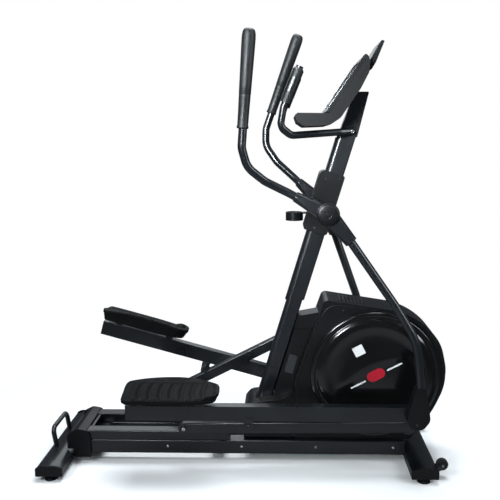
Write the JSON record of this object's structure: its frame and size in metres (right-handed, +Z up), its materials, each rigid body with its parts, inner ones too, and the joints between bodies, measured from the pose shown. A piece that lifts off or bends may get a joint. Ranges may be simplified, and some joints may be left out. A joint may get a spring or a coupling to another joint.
{
  "type": "elliptical trainer",
  "caption": "Front-drive elliptical trainer with rear roller rails, tray pedals, moving and fixed handlebars, a leaning mast, a console and a drive housing with crank discs.",
  "frame": {"origin": "on the floor at the middle of the machine's footprint", "axes": "+X is forward, the way the user faces; +Y is the user's left; +Z is up"},
  "size_m": [1.6797, 0.552, 1.8157],
  "materials": {
    "frame_paint": "satin powder coat",
    "moulded_plastic": "fine grain",
    "disc_plastic": "gloss",
    "pedal_rubber": "matte",
    "grip_foam": "smooth foam",
    "bright_steel": "polished",
    "cast_iron": "turned",
    "belt_rubber": "ribbed",
    "magnet_steel": "zinc",
    "wheel_plastic": "smooth",
    "console_trim": "satin",
    "screen_glass": "gloss",
    "key_plastic": "satin"
  },
  "bodies": {
    "root": {"levelling_feet": "pedal_rubber", "rear_stabilizer": "frame_paint", "front_stabilizer": "frame_paint", "stabilizer_end_caps": "moulded_plastic", "transport_wheel_pins": "bright_steel", "lift_handle": "frame_paint", "rear_cover": "moulded_plastic", "roller_rails": "frame_paint", "mast_lower": "frame_paint", "mast_foot_cover": "moulded_plastic", "mast_shroud": "moulded_plastic", "bottle_holder": "moulded_plastic", "pivot_axle": "bright_steel", "right_housing": "moulded_plastic", "left_housing": "moulded_plastic", "base_frame": "frame_paint", "crank_bearings": "bright_steel", "drive_belt": "belt_rubber", "magnet_brake": "magnet_steel", "brake_servo": "moulded_plastic", "power_inlet": "moulded_plastic", "fixed_handlebar": "frame_paint", "fixed_grips": "grip_foam", "pulse_plates": "bright_steel", "mast_upper": "frame_paint", "console_back": "moulded_plastic", "console_face": "console_trim", "console_screen": "screen_glass", "media_rack": "moulded_plastic"},
    "crank": {"crank_shaft": "bright_steel", "right_crank_disc": "disc_plastic", "left_crank_disc": "disc_plastic", "drive_pulley": "moulded_plastic"},
    "flywheel": {"flywheel": "cast_iron"},
    "idler": {"belt_idler": "wheel_plastic"},
    "right_link": {"right_link": "frame_paint"},
    "left_link": {"left_link": "frame_paint"},
    "right_arm": {"right_pedal_arm": "frame_paint", "right_pedal_arm_pin": "bright_steel", "right_pedal": "pedal_rubber"},
    "left_arm": {"left_pedal_arm": "frame_paint", "left_pedal_arm_pin": "bright_steel", "left_pedal": "pedal_rubber"},
    "right_swing": {"right_swing_arm": "frame_paint", "right_handlebar": "frame_paint", "right_grip": "grip_foam", "right_pivot_cover": "moulded_plastic", "right_knee_cover": "moulded_plastic"},
    "left_swing": {"left_swing_arm": "frame_paint", "left_handlebar": "frame_paint", "left_grip": "grip_foam", "left_pivot_cover": "moulded_plastic", "left_knee_cover": "moulded_plastic"},
    "right_roller": {"right_roller": "wheel_plastic"},
    "left_roller": {"left_roller": "wheel_plastic"},
    "right_wheel": {"right_transport_wheel": "wheel_plastic"},
    "left_wheel": {"left_transport_wheel": "wheel_plastic"},
    "down_key": {"down_key": "key_plastic"},
    "start_key": {"start_key": "key_plastic"},
    "up_key": {"up_key": "key_plastic"}
  },
  "joints": [
    {"name": "stride", "type": "slide", "parent": "root", "child": "right_link", "axis": [1, 0, 0], "range_m": [-0.32, 0.148]},
    {"name": "left_link_slide", "type": "slide", "parent": "root", "child": "left_link", "axis": [1, 0, 0], "range_m": [-0.149, 0.321]},
    {"name": "right_swing_pivot", "type": "hinge", "parent": "root", "child": "right_swing", "pos_m": [0.33, -0.12, 1.08], "axis": [0, -1, 0], "range_deg": [-22.42, 10.69]},
    {"name": "left_swing_pivot", "type": "hinge", "parent": "root", "child": "left_swing", "pos_m": [0.33, 0.12, 1.08], "axis": [0, -1, 0], "range_deg": [-10.52, 22.05]},
    {"name": "right_arm_pitch", "type": "hinge", "parent": "right_link", "child": "right_arm", "pos_m": [0.0178, -0.14, 0.21327], "axis": [0, -1, 0], "range_deg": [-9.57, 4.75]},
    {"name": "left_arm_pitch", "type": "hinge", "parent": "left_link", "child": "left_arm", "pos_m": [-0.19927, 0.14, 0.33085], "axis": [0, -1, 0], "range_deg": [-4.75, 9.57]},
    {"name": "right_roller_spin", "type": "hinge", "parent": "right_link", "child": "right_roller", "pos_m": [-0.25333, -0.086, 0.1764], "axis": [0, 1, 0], "continuous": true},
    {"name": "left_roller_spin", "type": "hinge", "parent": "left_link", "child": "left_roller", "pos_m": [-0.42514, 0.086, 0.1764], "axis": [0, 1, 0], "continuous": true},
    {"name": "crank_spin", "type": "hinge", "parent": "root", "child": "crank", "pos_m": [0.543, 0, 0.395], "axis": [0, 1, 0], "continuous": true},
    {"name": "flywheel_spin", "type": "hinge", "parent": "root", "child": "flywheel", "pos_m": [0.69, 0, 0.332], "axis": [0, 1, 0], "continuous": true},
    {"name": "idler_spin", "type": "hinge", "parent": "root", "child": "idler", "pos_m": [0.6497, -0.015, 0.27524], "axis": [0, 1, 0], "continuous": true},
    {"name": "right_wheel_spin", "type": "hinge", "parent": "root", "child": "right_wheel", "pos_m": [0.809, -0.215, 0.058], "axis": [0, 1, 0], "continuous": true},
    {"name": "left_wheel_spin", "type": "hinge", "parent": "root", "child": "left_wheel", "pos_m": [0.809, 0.215, 0.058], "axis": [0, 1, 0], "continuous": true},
    {"name": "down_key_press", "type": "slide", "parent": "root", "child": "down_key", "axis": [0.8284, 0, -0.5602], "range_m": [0, 0.0015], "stiffness_N_per_m": 300, "springref_m": -0.001},
    {"name": "start_key_press", "type": "slide", "parent": "root", "child": "start_key", "axis": [0.8284, 0, -0.5602], "range_m": [0, 0.0015], "stiffness_N_per_m": 300, "springref_m": -0.001},
    {"name": "up_key_press", "type": "slide", "parent": "root", "child": "up_key", "axis": [0.8284, 0, -0.5602], "range_m": [0, 0.0015], "stiffness_N_per_m": 300, "springref_m": -0.001}
  ],
  "couplings": [
    {"joint": "left_link_slide", "follows": "stride", "ratio": -1},
    {"joint": "right_swing_pivot", "follows": "stride", "rad_per_m": 1.19},
    {"joint": "left_swing_pivot", "follows": "stride", "rad_per_m": -1.17},
    {"joint": "right_arm_pitch", "follows": "stride", "rad_per_m": 0.489},
    {"joint": "left_arm_pitch", "follows": "stride", "rad_per_m": -0.489},
    {"joint": "right_roller_spin", "follows": "stride", "rad_per_m": 31.25},
    {"joint": "left_roller_spin", "follows": "stride", "rad_per_m": -31.25},
    {"joint": "flywheel_spin", "follows": "crank_spin", "ratio": 5.6818},
    {"joint": "idler_spin", "follows": "crank_spin", "ratio": -7.8125}
  ]
}
